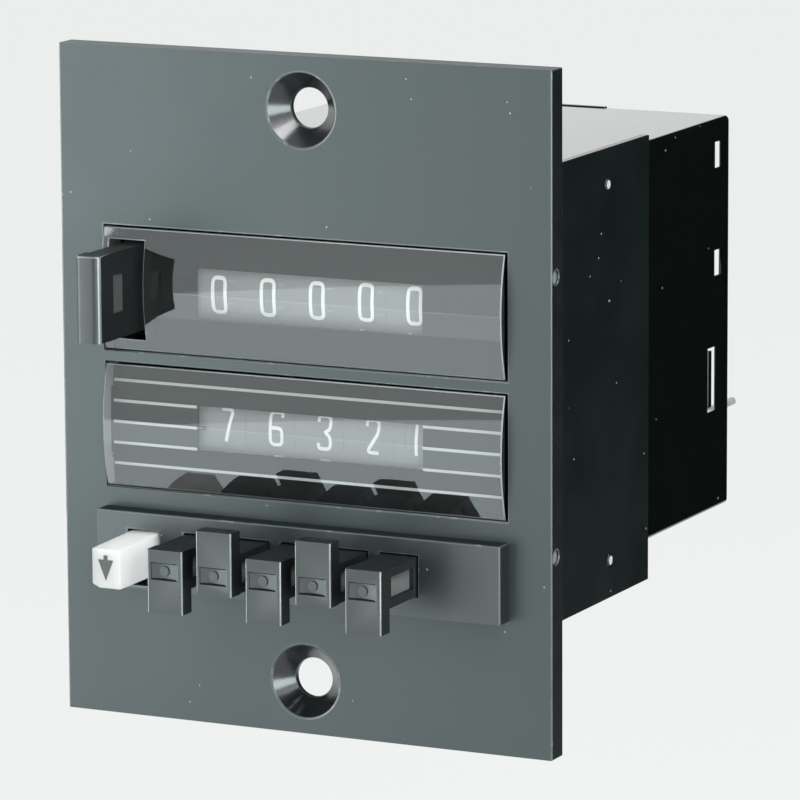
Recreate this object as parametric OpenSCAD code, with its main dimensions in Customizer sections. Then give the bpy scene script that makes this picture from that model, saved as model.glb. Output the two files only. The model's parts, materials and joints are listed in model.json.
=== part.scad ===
// Predetermining batch counter for panel mounting.
// The origin is midway between the two bolt holes, on the rear face of the front plate,
// which seats on the panel. X is to the right, Y is to the rear and Z is up.

/* [Front plate] */
// Width of the front plate
plate_w = 59.5; // [58:0.5:62]
// Height of the front plate
plate_h = 75; // [73:0.5:78]
// Thickness of the front plate
plate_t = 2.8; // [2.5:0.1:3.1]
// Distance between the two bolt holes
hole_spacing = 63.2; // [62:0.2:65]
// Diameter of the bolt holes
hole_d = 4.4; // [3.6:0.1:4.8]
// Diameter of the countersinks at the face
sink_d = 8.3; // [7.4:0.1:9]
// Depth of the countersinks
sink_depth = 2.2; // [1.6:0.1:2.3]

/* [Windows] */
// Width of both windows
window_w = 49; // [48:0.2:49.6]
// Height of each window
window_h = 14; // [13.4:0.1:14.2]
// Distance between the wheel rows
row_gap = 15.3; // [15.2:0.1:15.6]
// Height of the line midway between the rows
row_mid = 3; // [2.7:0.1:3.3]
// How far each lens bulges at its middle
lens_bulge = 1; // [0.6:0.1:1.4]
// Width of the number openings in the masks
number_w = 27.6; // [26:0.2:29]
// Height of the number opening in the count mask
number_h = 5.2; // [4.8:0.1:5.8]
// Height of the number opening in the preset mask
preset_number_h = 4.7; // [4.2:0.1:5.2]

/* [Number wheels] */
// Distance from one wheel to the next
wheel_pitch = 6; // [5.95:0.05:6.05]
// Diameter of the number wheels
wheel_d = 14.8; // [14.6:0.1:15]
// Diameter of the wheel shafts
shaft_d = 2; // [1.6:0.1:2.2]

/* [Keys] */
// How far the preset and unlock keys stand out from the plate
key_reach = 10.9; // [10:0.1:12]
// Width of a preset key
key_w = 4.3; // [4:0.1:4.4]
// Height of a preset key's face
face_h = 7.05; // [6.6:0.05:7.3]
// Height of a preset key's stem
stem_h = 4.35; // [4.1:0.05:4.5]
// Travel of a preset key
key_stroke = 4; // [3:0.5:4.5]
// How far the reset key stands out from the plate
reset_reach = 10; // [9:0.5:12]
// Height of the reset key
reset_h = 9.6; // [8.6:0.2:10]
// Travel of the reset key
reset_stroke = 5; // [4:0.5:5]
// Travel of the unlock key
unlock_stroke = 1.2; // [0.8:0.1:1.2]

/* [Body] */
// Width over the side cheeks
body_w = 49.6; // [49.2:0.1:50]
// Height of the side cheeks
cheek_h = 50.8; // [50:0.2:51.4]
// Depth of the side cheeks behind the panel face
cheek_depth = 34.4; // [33:0.2:36]
// Depth of the case behind the panel face
case_depth = 59.7; // [59:0.1:62]
// Height of the case's top above the middle
case_top = 24.5; // [24:0.1:25]
// Depth of the case's bottom below the middle
case_drop = 21.3; // [20.6:0.1:21.6]

/* [Hidden] */
$fn = 64;

// Colours, as the photograph shows them
plate_grey = [0.4, 0.44, 0.45];
key_black = [0.13, 0.14, 0.14];
case_black = [0.05, 0.07, 0.06];
clear = [0.7, 0.75, 0.75, 0.4];
wheel_grey = [0.6, 0.62, 0.63];
white = [0.92, 0.93, 0.93];
steel = [0.7, 0.72, 0.74];
copper = [0.72, 0.4, 0.22];
pale = [0.8, 0.8, 0.76];

// Clearances: face to face, sliding, and running on a pin
lens_gap = 0.2;
slide_gap = 0.15;
run_gap = 0.05;
cut = 1;

// Front plate and its key block
plate_front = -plate_t;
block_w = 49.2;
block_h = 8.7;
block_t = 2.2;
block_z = -18.25;
block_front = plate_front - block_t;
dent_r = 0.8;
dent_depth = 0.3;
dent_back = 1.05;
dent_z = 15.2;

// Wheel rows
count_z = row_mid + row_gap / 2;
preset_z = row_mid - row_gap / 2;
mask_t = 0.5;
mask_w = 47;
mask_gap = 0.3;
mask_h = row_gap - mask_gap;
number_drop = 0.2;
wheel_r = wheel_d / 2;
wheel_w = 5.7;
wheel_room = 0.3;
axis_y = mask_t + wheel_room + wheel_r;
shaft_r = shaft_d / 2;
preset_shift = 0.9;
function count_x(k) = (k - 3) * wheel_pitch;
function preset_x(k) = count_x(k) + preset_shift;

// Wheel details: plain rim, toothed rim for the carry or the ratchet, hub
tooth_from = 1.6;
tooth_to = 2.6;
wheel_rim_t = 1.2;
web_t = 1.4;
hub_r = 2.4;
ratchet_teeth = 10;
ratchet_r = 6.9;
ratchet_root = 5.9;
drive_ratchet_r = 5.5;
drive_ratchet_root = 4.6;
drive_from = 3;
drive_to = 4.1;

// Carry gears
gear_module = 0.65;
wheel_teeth = 20;
pinion_teeth = 8;
addendum = 0.45;
dedendum = 0.65;
gear_pitch_r = gear_module * wheel_teeth / 2;
pinion_pitch_r = gear_module * pinion_teeth / 2;
pinion_y = axis_y + gear_pitch_r + pinion_pitch_r;
pinion_shaft_r = 0.8;
pinion_hub_r = 1.3;
pinion_from = 1.7;
pinion_to = 2.9;
hub_over = 0.15;
tooth_tip = 0.2;
tooth_root = 0.5;

// Lenses
lens_w = window_w - 2 * lens_gap;
lens_h = window_h - 2 * lens_gap;
lens_proud = 0.15;
lens_front = plate_front - lens_proud - lens_bulge;
lens_r = (lens_h * lens_h / 4 + lens_bulge * lens_bulge) / (2 * lens_bulge);
tab_w = 0.8;
tab_t = 0.8;
tab_h = 7.6;

// Side cheeks and case
cheek_x = body_w / 2;
cheek_t = 1;
case_x = cheek_x - cheek_t;
wall = 1;
case_in = case_x - wall;
flange_t = 1;
upper_flange_w = 6.5;
lower_flange_w = 8.8;
upper_flange_z = 19.2;
lower_flange_z = -22.8;
cheek_lift = 0.15;
cheek_z = around(cheek_lift, cheek_h);
screw_upper = [20, 22];
screw_lower = [17, -24.05];
screw_r = 0.75;
screw_head_r = 1.2;
screw_head_t = 0.8;
screw_depth = 1.8;
pin_at = [[22.9, 21.5], [23.6, -20.95]];
pin_r = 0.65;
pin_proud = 0.1;
roof_t = 1.2;
edge_r = 0.6;
step_room = 0.2;
step_y = cheek_depth - step_room;
skirt_z = -25.2;
floor_z = -case_drop;
boss_r = 2.5;
boss_y = [30, 47];
boss_z = [16.5, -9];
rim_t = 0.5;
slot_t = 2.05;
slot_back = 1.95;
small_slot_h = 3;
small_slot_z = [20.3, 7.7];
latch_slot_t = 2.7;
latch_slot_back = 3.2;
latch_slot_z = [-9.6, -2.1];
skirt_t = 0.9;
cover_front = 2.2;

// Mechanism frames
frame_room = 1.15;
frame_in = count_x(5) + preset_shift + wheel_w / 2 + frame_room;
frame_t = 1.2;
frame_x = frame_in + frame_t;
frame_low = -13.4;
frame_top = 21.5;
frame_back = 53.8;
pillar_r = 2;
pillar_at = [[24, 18.6], [51, 18.6], [51, -11]];
bridge_y = [21, 29];
bridge_z = [-13.2, -10.2];
pillar_screw_r = 0.95;
pillar_screw_depth = 6;
pillar_head_r = 1.8;
pillar_head_t = 1.2;
bridge_at = [(bridge_y[0] + bridge_y[1]) / 2, (bridge_z[0] + bridge_z[1]) / 2];

// Rear cover and terminals
cover_t = 2.4;
cover_x = 21.2;
cover_z = [-18.5, 22];
cover_back = frame_back + cover_t;
leg_from = 0.93;
leg_to = 1.76;
leg_y = [frame_back + leg_from, frame_back + leg_to];
leg_z = [-9.2, -2.5];
leg_short = 0.3;
leg_x = case_x - leg_short;
lip_x = [-10, 8.2];
lip_reach = 0.4;
lip_back = case_depth + lip_reach;
lip_t = 0.12;
lip_over = 0.3;
lip_low = 19;
pin_row_z = -11.1;
pin_row_x = [-19.8, -9.8, 0.2, 10.2, 20.2];
terminal_r = 0.5;
terminal_in = 0.6;
terminal_out = 9.9;

// Preset keys
key_shift = 0.5;
function key_x(k) = count_x(k) + key_shift;
key_front = plate_front - key_reach;
paddle_t = 2.1;
stem_z = -18.08;
stem_top = stem_z + stem_h / 2;
stem_low = stem_z - stem_h / 2;
paddle_over = 0.08;
stem_end = 9;
collar_w = 5.2;
collar_y = [0.1, 1.3];
pocket_x = 1.2;
pocket_h = 2.4;
pocket_from = 2.5;
pocket_to = 0.7;
pocket_y = [key_front + pocket_from, block_front - pocket_to];
dimple_w = 3.4;
dimple_h = 1.95;
dimple_t = 0.45;
dimple_r = 4;
dimple_side = -0.2;
dimple_drop = 0.12;
dimple_z = stem_z - dimple_drop;
button_r = 0.55;
button_t = 0.15;
pawl_w = 0.8;
pawl_y = [4.2, 5.2];
pawl_gap = 0.25;
pawl_top = preset_z - wheel_r - pawl_gap;

// Key comb: guide in front, spring rest behind
comb_y = [6.5, 8];
comb_over = 0.95;
comb_top = stem_z + comb_over;
rest_y = [17.5, 19];
rest_top = -15.5;
bed_t = 1;
bed_z = skirt_z + skirt_t;
spring_r = 1.5;
spring_bore = 1.1;

// Unlock key and lock bar
unlock_x = [-20.5, -16.97];
unlock_z = [-20.7, -16];
unlock_slope = 0.3;
unlock_room = 0.3;
corner_w = 0.9;
corner_h = 0.4;
unlock_end = 6.4;
unlock_collar = 0.8;
bar_y = [3.6, 5];
bar_z = [-22.8, -20.6];
bar_end = 15.2;
riser_w = 1.65;
riser_top = -17.5;
unlock_spring_r = 1.2;
unlock_spring_y = 4.3;

// Reset key: as far to the left as the case's wall and the lens's end allow, and clear of the
// mechanism's frame. The lens's notch leaves a strip at the lens's end.
reset_w = 2.5;
reset_wall_gap = 0.6;
reset_frame_gap = 0.3;
notch_gap = 0.6;
notch_left = 1.3;
notch_over = 0.45;
notch_strip = 0.3;
reset_left = max(frame_x + reset_frame_gap + reset_w,
    min(case_in - reset_wall_gap, lens_w / 2 - notch_left - notch_strip));
notch_side = min(notch_left, lens_w / 2 - notch_strip - reset_left);
reset_x = [-reset_left, -reset_left + reset_w];
reset_lift = 0.25;
reset_mid = count_z + reset_lift;
reset_front = plate_front - reset_reach;
reset_edge = 0.8;
tail_below = 1.9;
tail_above = 1.5;
tail_z = [reset_mid - tail_below, reset_mid + tail_above];
tail_end = 17.5;
nose_end = 18.9;
nose_below = 0.9;
nose_above = 0.3;
nose_z = [reset_mid - nose_below, reset_mid + nose_above];
blade_end = 0.6;
guide_slot = [4, 11.2];
guide_y = 10.2;
guide_r = 0.9;
head_over = 0.5;
head_most = 2.6;
head_t = min(head_most, lens_front - slide_gap - reset_stroke - reset_front);
head_x = [reset_x[0] - head_over, reset_x[1]];
grip_from = 3.4;
grip_to = 5.8;
grip_y = [reset_front + grip_from, reset_front + grip_to];
grip_h = 4.25;
grip_lift = 0.2;
grip_t = 0.4;
lug_y = [8, 9.2];
lug_h = 4.9;
lug_top = reset_mid + lug_h;
notch_low = 5.8;
rest_tab_y = [21, 22.2];
rest_tab_below = 3;
rest_tab_above = 0.4;
rest_tab_z = [lug_top - rest_tab_below, lug_top + rest_tab_above];
reset_spring_below = 1.4;
reset_spring_z = lug_top - reset_spring_below;

// Reset bail
bail_y = 20;
bail_z = row_mid;
bail_r = 1.2;
crank_inset = [0.6, 0.3];
crank_x = [reset_x[0] + crank_inset[0], reset_x[1] - crank_inset[1]];
crank_t = 0.7;
crank_top = 12.4;
finger_l = 6;
finger_t = 0.9;
finger_w = 0.7;
finger_tilt = 20;
finger_at = 2.1;

// Drive coil and armature
coil_y = 39;
core_r = 3;
core_top = 13;
yoke_z = [-9, -7.5];
yoke_y = [29.5, 53.4];
yoke_w = 8;
leg_t = 1.5;
back_leg_y = 49;
arm_strip_y = [41, 46];
bobbin_r = 8.5;
bobbin_t = 1;
bobbin_wall = 0.6;
bobbin_top = 12;
winding_r = 8;
pivot_y = 49.75;
pivot_z = 14.6;
pivot_r = 0.8;
ear_in = 5;
ear_y = [48.6, 50.9];
ear_top = 16.2;
armature_z = [14, 15.2];
armature_y = [30, 53.2];
armature_w = 4.8;
bar_front = 28.5;
drive_gap = 0.6;
drive_arm_y = axis_y + drive_ratchet_r + drive_gap;
drive_arm_t = 1.2;
drive_tip_lift = 0.5;
drive_tip_z = count_z + drive_tip_lift;
armature_spring_r = 0.9;
armature_spring_y = 52.2;

// Contact switch
switch_x = [-14, -2];
switch_y = [22, 28];
switch_top = -4;
lever_x = [-9.5, -6.5];
lever_y = 21.3;
lever_z = -8.9;
lever_t = 0.5;
lever_top = 0;
lever_pin_r = 0.4;
lever_ear_t = 0.5;
lever_ear_y = 20.6;
lever_ear_h = 0.8;

// Helpers: a block between limits, rods along each axis, and outlines drawn out along X or Y
module block(x, y, z) {
    translate([x[0], y[0], z[0]])
        cube([x[1] - x[0], y[1] - y[0], z[1] - z[0]]);
}

module rod_x(r, x, y, z) {
    translate([x[0], y, z])
        rotate([0, 90, 0])
            cylinder(r = r, h = x[1] - x[0]);
}

module rod_y(r, y, x, z) {
    translate([x, y[0], z])
        rotate([-90, 0, 0])
            cylinder(r = r, h = y[1] - y[0]);
}

module rod_z(r, z, x, y) {
    translate([x, y, z[0]])
        cylinder(r = r, h = z[1] - z[0]);
}

module prism_x(outline, x) {
    translate([x[0], 0, 0])
        rotate([90, 0, 90])
            linear_extrude(x[1] - x[0])
                polygon(outline);
}

module prism_y(outline, y) {
    translate([0, y[1], 0])
        rotate([90, 0, 0])
            linear_extrude(y[1] - y[0])
                polygon(outline);
}

function around(middle, size) = [middle - size / 2, middle + size / 2];
function both(size) = around(0, size);

// Front plate: the windows, key slots and countersunk bolt holes are cut through it
module front_plate() {
    color(plate_grey)
        difference() {
            union() {
                block(both(plate_w), [plate_front, 0], both(plate_h));
                block(both(block_w), [block_front, plate_front + cut], around(block_z, block_h));
            }
            for (side = [-1, 1]) {
                bolt_hole(side * hole_spacing / 2);
                edge_dents(side);
                cheek_screw_holes(side);
            }
            window_cut(count_z);
            window_cut(preset_z);
            for (k = [1:5])
                block(around(key_x(k), key_w + 2 * slide_gap), [block_front - cut, cut],
                    around(stem_z, stem_h + 2 * slide_gap));
            block([unlock_x[0] - unlock_room, unlock_x[1] + slide_gap], [block_front - cut, cut],
                [unlock_z[0] - unlock_stroke - unlock_room, unlock_z[1] + slide_gap]);
        }
}

module bolt_hole(z) {
    rod_y(hole_d / 2, [plate_front - cut, cut], 0, z);
    translate([0, plate_front, z])
        rotate([-90, 0, 0])
            cylinder(r1 = sink_d / 2, r2 = hole_d / 2, h = sink_depth);
}

module edge_dents(side) {
    for (z = [-dent_z, dent_z])
        rod_x(dent_r, around(side * plate_w / 2, 2 * dent_depth), plate_front + dent_back, z);
}

module cheek_screw_holes(side) {
    for (at = [screw_upper, screw_lower])
        rod_y(screw_r + run_gap, [-screw_depth - run_gap, cut], side * at[0], at[1]);
}

module window_cut(z) {
    block(both(window_w), [plate_front - cut, cut], around(z, window_h));
    block(both(window_w + 2 * tab_w), [-tab_t, cut], around(z, tab_h + 2 * slide_gap));
}

// Lenses: clear bars with a bulged front, held from behind by their end tabs
module lens(z) {
    intersection() {
        block(both(lens_w), [lens_front, 0], around(z, lens_h));
        rod_x(lens_r, both(lens_w), lens_front + lens_r, z);
    }
    block(both(window_w + 2 * tab_w - 2 * slide_gap), [-tab_t, 0], around(z, tab_h));
}

module reset_notch(left, right, over, y) {
    block([reset_x[0] - left, reset_x[1] + right], y,
        [reset_mid - notch_low, reset_mid + reset_h / 2 + over]);
}

module count_lens() {
    color(clear)
        difference() {
            lens(count_z);
            reset_notch(notch_side, notch_gap, notch_over, [lens_front - cut, cut]);
        }
}

module preset_lens() {
    color(clear)
        lens(preset_z);
}

// Masks: dark sheets behind the lenses, open where the digits show
module mask(z, open_z, open_h) {
    difference() {
        block(both(mask_w), [0, mask_t], around(z, mask_h));
        block(both(number_w), [-cut, mask_t + cut], around(open_z, open_h));
    }
}

module count_mask() {
    color(key_black)
        difference() {
            mask(count_z, count_z - number_drop, number_h);
            reset_notch(slide_gap, slide_gap, slide_gap, [-cut, mask_t + cut]);
        }
}

module preset_mask() {
    color(key_black)
        mask(preset_z, preset_z, preset_number_h);
}

// Side cheeks: sheet sides with flanges turned in behind the plate
module cheek(side) {
    difference() {
        union() {
            block(side_span(side, [case_x, cheek_x]), [0, cheek_depth], cheek_z);
            block(side_span(side, [cheek_x - upper_flange_w, cheek_x]), [0, flange_t],
                [upper_flange_z, cheek_z[1]]);
            block(side_span(side, [cheek_x - lower_flange_w, cheek_x]), [0, flange_t],
                [cheek_z[0], lower_flange_z]);
        }
        for (at = [screw_upper, screw_lower])
            rod_y(screw_r + run_gap, [-cut, flange_t + cut], side * at[0], at[1]);
        for (at = pin_at)
            rod_x(pin_r, around(side * cheek_x, 2 * cheek_t + cut), at[0], at[1]);
    }
}

function side_span(side, x) = side > 0 ? x : [-x[1], -x[0]];

module cheek_left() {
    color(case_black)
        cheek(-1);
}

module cheek_right() {
    color(case_black)
        cheek(1);
}

module cheek_screws() {
    color(steel)
        for (side = [-1, 1])
            for (at = [screw_upper, screw_lower]) {
                rod_y(screw_r, [-screw_depth, flange_t + cut / 2], side * at[0], at[1]);
                rod_y(screw_head_r, [flange_t, flange_t + screw_head_t], side * at[0], at[1]);
            }
}

// Pins that tie each cheek to the case
module cheek_pins() {
    color(steel)
        for (side = [-1, 1])
            for (at = pin_at)
                rod_x(pin_r, side_span(side, [case_in, cheek_x + pin_proud]), at[0], at[1]);
}

// Case hood: roof and sides in one moulding, open in front and behind
module round_profile(x, low, top, r) {
    translate([-x, low + r])
        square([2 * x, top - low - 2 * r]);
    translate([-x + r, low])
        square([2 * (x - r), top - low]);
    for (side = [-1, 1], z = [low + r, top - r])
        translate([side * (x - r), z])
            circle(r = r);
}

module hood_shape(x, low, top, r, y) {
    translate([0, y[1], 0])
        rotate([90, 0, 0])
            linear_extrude(y[1] - y[0])
                round_profile(x, low, top, r);
}

module case_hood() {
    color(case_black)
        difference() {
            union() {
                difference() {
                    union() {
                        hood_shape(case_x, floor_z, case_top, edge_r, [flange_t, case_depth]);
                        hood_shape(case_x, skirt_z, case_top, edge_r, [flange_t, step_y]);
                    }
                    block(both(2 * case_in), [flange_t - cut, case_depth + cut],
                        [floor_z + wall, case_top - roof_t]);
                    block(both(2 * case_in), [flange_t - cut, step_y - wall],
                        [skirt_z - cut, case_top - roof_t]);
                }
                for (side = [-1, 1], y = boss_y, z = boss_z)
                    rod_x(boss_r, side_span(side, [frame_x, case_in + wall / 2]), y, z);
            }
            for (side = [-1, 1]) {
                block(side_span(side, [case_in - cut, case_x - rim_t]), [cover_back, case_depth + cut],
                    [floor_z + wall, case_top - roof_t]);
                for (at = pin_at)
                    rod_x(pin_r, around(side * case_x, 2 * wall + cut), at[0], at[1]);
                for (z = small_slot_z)
                    block(around(side * case_x, 2 * wall + cut),
                        [case_depth - slot_back - slot_t, case_depth - slot_back],
                        around(z, small_slot_h));
                block(around(side * case_x, 2 * wall + cut),
                    [case_depth - latch_slot_back - latch_slot_t, case_depth - latch_slot_back],
                    latch_slot_z);
            }
        }
}

module bottom_cover() {
    color(case_black)
        block(both(2 * case_in), [cover_front, step_y - wall], [skirt_z, skirt_z + skirt_t]);
}

// Latches of the rear cover: sloped in front, square behind, one in a slot on each side
module latch(side) {
    translate([0, 0, leg_z[0]])
        linear_extrude(leg_z[1] - leg_z[0])
            polygon([[side * (cover_x - cut), frame_back], [side * (leg_x - leg_from), frame_back],
                [side * leg_x, leg_y[0]], [side * leg_x, leg_y[1]], [side * (cover_x - cut), leg_y[1]]]);
}

// Rear cover: carries the terminals, latches in the case's slots and hooks over its roof
module rear_cover() {
    color(case_black)
        difference() {
            union() {
                block(both(2 * cover_x), [frame_back, cover_back], cover_z);
                for (side = [-1, 1])
                    latch(side);
                block(lip_x, [cover_back - cut, lip_back], [lip_low, cover_z[1]]);
                block(lip_x, [case_depth, lip_back], [lip_low, case_top + lip_t]);
                block(lip_x, [case_depth - lip_over, lip_back], [case_top, case_top + lip_t]);
            }
            for (x = pin_row_x)
                rod_y(terminal_r, [frame_back - cut, cover_back + cut], x, pin_row_z);
        }
}

module terminal_pins() {
    color(steel)
        for (x = pin_row_x)
            rod_y(terminal_r, [frame_back - terminal_in, case_depth + terminal_out], x, pin_row_z);
}

// Mechanism frames: two sheet sides that carry the shafts
module frame(side) {
    difference() {
        block(side_span(side, [frame_in, frame_x]), [mask_t, frame_back], [frame_low, frame_top]);
        for (at = [[axis_y, count_z], [axis_y, preset_z]])
            frame_hole(side, shaft_r, at);
        frame_hole(side, pinion_shaft_r, [pinion_y, count_z]);
        frame_hole(side, bail_r + run_gap, [bail_y, bail_z]);
        for (at = concat(pillar_at, [bridge_at]))
            frame_hole(side, pillar_screw_r + run_gap, at);
    }
}

module frame_hole(side, r, at) {
    rod_x(r, around(side * frame_x, 2 * frame_t + cut), at[0], at[1]);
}

module frame_left() {
    color(steel) {
        frame(-1);
        rod_x(guide_r, [reset_x[0], -frame_in - frame_t / 2], guide_y, reset_mid);
        block([reset_x[0], -frame_in - frame_t / 2], rest_tab_y, rest_tab_z);
    }
}

module frame_right() {
    color(steel)
        frame(1);
}

module frame_pillars() {
    color(steel)
        for (at = pillar_at)
            difference() {
                rod_x(pillar_r, both(2 * frame_in), at[0], at[1]);
                screw_bores(at);
            }
}

module screw_bores(at) {
    for (side = [-1, 1])
        rod_x(pillar_screw_r + run_gap, around(side * frame_in, 2 * pillar_screw_depth), at[0], at[1]);
}

module pillar_screws() {
    color(steel)
        for (side = [-1, 1], at = concat(pillar_at, [bridge_at])) {
            rod_x(pillar_screw_r, side_span(side, [frame_x - pillar_screw_depth, frame_x + cut / 2]),
                at[0], at[1]);
            rod_x(pillar_head_r, side_span(side, [frame_x, frame_x + pillar_head_t]), at[0], at[1]);
        }
}

module switch_bridge() {
    color(steel)
        difference() {
            block(both(2 * frame_in), bridge_y, bridge_z);
            screw_bores(bridge_at);
        }
}

module wheel_shaft(r, y, z) {
    rod_x(r, both(2 * frame_x), y, z);
}

module count_shaft() {
    color(steel)
        wheel_shaft(shaft_r, axis_y, count_z);
}

module preset_shaft() {
    color(steel)
        wheel_shaft(shaft_r, axis_y, preset_z);
}

module pinion_shaft() {
    color(steel)
        wheel_shaft(pinion_shaft_r, pinion_y, count_z);
}

// Tooth outlines, drawn round the shaft's axis
function polar(r, a) = [r * cos(a), r * sin(a)];

function gear_outline(teeth, r, turn) = [
    for (i = [0:teeth - 1], point = [
            [r - dedendum, -tooth_root], [r + addendum, -tooth_tip],
            [r + addendum, tooth_tip], [r - dedendum, tooth_root]])
        let (a = 360 * i / teeth + turn, half = point[1] * 180 / (PI * r))
            polar(point[0], a + half)];

function ratchet_outline(root, tip) = [
    for (i = [0:ratchet_teeth - 1], step = [0, 1])
        let (a = 360 * i / ratchet_teeth)
            step == 0 ? polar(tip, a) : polar(root, a + 90 / ratchet_teeth)];

module toothed_x(outline, x, y, z) {
    translate([0, y, z])
        prism_x(outline, x);
}

// Number wheels: a rim for the digits, a web and a hub
module wheel_body(x, rim, z) {
    middle = x + (rim[0] + rim[1]) / 2;
    difference() {
        rod_x(wheel_r, [x + rim[0], x + rim[1]], axis_y, z);
        rod_x(wheel_r - wheel_rim_t, [middle + web_t / 2, x + wheel_w], axis_y, z);
        rod_x(wheel_r - wheel_rim_t, [x - wheel_w, middle - web_t / 2], axis_y, z);
    }
}

module count_wheel(k) {
    x = count_x(k);
    color(wheel_grey)
        difference() {
            union() {
                wheel_body(x, [-wheel_w / 2, tooth_from], count_z);
                toothed_x(gear_outline(wheel_teeth, gear_pitch_r, 0),
                    [x + tooth_from - run_gap, x + tooth_to], axis_y, count_z);
                rod_x(hub_r, around(x, wheel_w), axis_y, count_z);
                if (k == 5) {
                    rod_x(hub_r, [x, x + drive_to], axis_y, count_z);
                    toothed_x(ratchet_outline(drive_ratchet_root, drive_ratchet_r),
                        [x + drive_from, x + drive_to], axis_y, count_z);
                }
            }
            rod_x(shaft_r + run_gap, around(x, 2 * wheel_w), axis_y, count_z);
        }
}

module preset_wheel(k) {
    x = preset_x(k);
    color(wheel_grey)
        difference() {
            union() {
                wheel_body(x, [-tooth_from, wheel_w / 2], preset_z);
                toothed_x(ratchet_outline(ratchet_root, ratchet_r),
                    [x - tooth_to, x - tooth_from + run_gap], axis_y, preset_z);
                rod_x(hub_r, around(x, wheel_w), axis_y, preset_z);
            }
            rod_x(shaft_r + run_gap, around(x, 2 * wheel_w), axis_y, preset_z);
        }
}

// Carry pinions: each stays in mesh with the wheel on its left
module carry_pinion(k) {
    x = count_x(k);
    color(pale)
        difference() {
            union() {
                toothed_x(gear_outline(pinion_teeth, pinion_pitch_r, 180 / pinion_teeth),
                    [x + pinion_from, x + pinion_to], pinion_y, count_z);
                rod_x(pinion_hub_r, [x + hub_over, x + wheel_pitch - hub_over], pinion_y, count_z);
            }
            rod_x(pinion_shaft_r + run_gap, [x - cut, x + wheel_pitch + cut], pinion_y, count_z);
        }
}

// Reset key: a blade with a wider head in front, a slotted tail beside the left frame
module reset_key() {
    color(key_black)
        difference() {
            union() {
                reset_blade();
                block(reset_x, [blade_end - cut, tail_end], tail_z);
                block(reset_x, [tail_end - cut, nose_end], nose_z);
                block(reset_x, lug_y, [reset_mid, lug_top]);
            }
            block([reset_x[0] - cut, reset_x[1] + cut], guide_slot,
                around(reset_mid, 2 * (guide_r + run_gap)));
            block([reset_x[1] - grip_t, reset_x[1] + cut], grip_y,
                around(reset_mid + grip_lift, grip_h));
        }
}

module reset_blade() {
    block(reset_x, [reset_front + reset_edge, blade_end], around(reset_mid, reset_h));
    block(head_x, [reset_front + reset_edge, reset_front + head_t], around(reset_mid, reset_h));
    block([head_x[0] + reset_edge, head_x[1] - reset_edge], [reset_front, reset_front + head_t],
        around(reset_mid, reset_h));
    for (x = [head_x[0] + reset_edge, head_x[1] - reset_edge])
        rod_z(reset_edge, around(reset_mid, reset_h), x, reset_front + reset_edge);
}

module reset_spring() {
    color(steel)
        sleeve_y(unlock_spring_r, [lug_y[1], rest_tab_y[0]], (reset_x[0] + reset_x[1]) / 2, reset_spring_z);
}

module sleeve_y(r, y, x, z) {
    difference() {
        rod_y(r, y, x, z);
        rod_y(r - (spring_r - spring_bore), [y[0] - cut, y[1] + cut], x, z);
    }
}

// Reset bail: a rocking bar with a crank for the key and a finger for each wheel
module reset_bail() {
    color(steel) {
        rod_x(bail_r, [crank_x[0], frame_x], bail_y, bail_z);
        block(crank_x, around(bail_y, 2 * crank_t), [bail_z, crank_top]);
        for (k = [1:5])
            translate([count_x(k) + finger_at, bail_y, bail_z])
                rotate([finger_tilt, 0, 0])
                    block(both(finger_w), [-finger_l, 0], both(finger_t));
    }
}

// Unlock key: slides down to free the preset keys. Its top falls to the front, and the lower
// left corner of its finger is cut off.
module unlock_key() {
    low = unlock_z[0];
    top = unlock_z[1];
    left = unlock_x[0];
    color(white)
        difference() {
            union() {
                block(unlock_x, [key_front, unlock_end], unlock_z);
                block([left - unlock_collar, unlock_x[1] + unlock_collar], collar_y, unlock_z);
            }
            prism_x([[plate_front, top], [key_front, top - unlock_slope],
                [key_front - cut, top - unlock_slope], [key_front - cut, top + cut],
                [plate_front, top + cut]], [left - cut, unlock_x[1] + cut]);
            prism_y([[left - corner_w, low + 2 * corner_h], [left + 2 * corner_w, low - corner_h],
                [left - corner_w, low - corner_h]], [key_front - cut, plate_front]);
        }
}

module lock_bar() {
    color(steel) {
        block([unlock_x[1], unlock_x[1] + riser_w], bar_y, [bar_z[0], riser_top]);
        block([unlock_x[1], bar_end], bar_y, bar_z);
    }
}

module unlock_spring() {
    color(steel)
        difference() {
            rod_z(unlock_spring_r, [bed_z, unlock_z[0]], (unlock_x[0] + unlock_x[1]) / 2, unlock_spring_y);
            rod_z(unlock_spring_r - (spring_r - spring_bore), [bed_z - cut, unlock_z[0] + cut],
                (unlock_x[0] + unlock_x[1]) / 2, unlock_spring_y);
        }
}

// Preset keys: a paddle, a pocketed stem, a collar behind the plate and a pawl
module preset_key(k) {
    x = key_x(k);
    down = k % 2 == 1;
    paddle_z = down ? [stem_top + paddle_over - face_h, stem_top + paddle_over]
        : [stem_low - paddle_over, stem_low - paddle_over + face_h];
    color(key_black) {
        difference() {
            union() {
                block(around(x, key_w), [key_front, key_front + paddle_t], paddle_z);
                block(around(x, key_w), [key_front + paddle_t - cut, stem_end], around(stem_z, stem_h));
                block(around(x, collar_w), collar_y, around(stem_z, stem_h));
                block([x - key_w / 2, x - key_w / 2 + pawl_w], pawl_y, [stem_z, pawl_top]);
            }
            block([x + key_w / 2 - pocket_x, x + key_w], pocket_y, around(stem_z, pocket_h));
            intersection() {
                block(around(x, dimple_w), [key_front - cut, key_front + dimple_t + cut],
                    around(dimple_z, dimple_h));
                rod_z(dimple_r, around(dimple_z, dimple_h), x + dimple_side,
                    key_front + dimple_t - dimple_r);
            }
        }
        rod_y(button_r, [key_front + dimple_t - button_t, key_front + dimple_t + cut / 2],
            x + dimple_side, dimple_z);
    }
}

module key_spring(k) {
    color(steel)
        sleeve_y(spring_r, [stem_end, rest_y[0]], key_x(k), stem_z);
}

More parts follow.
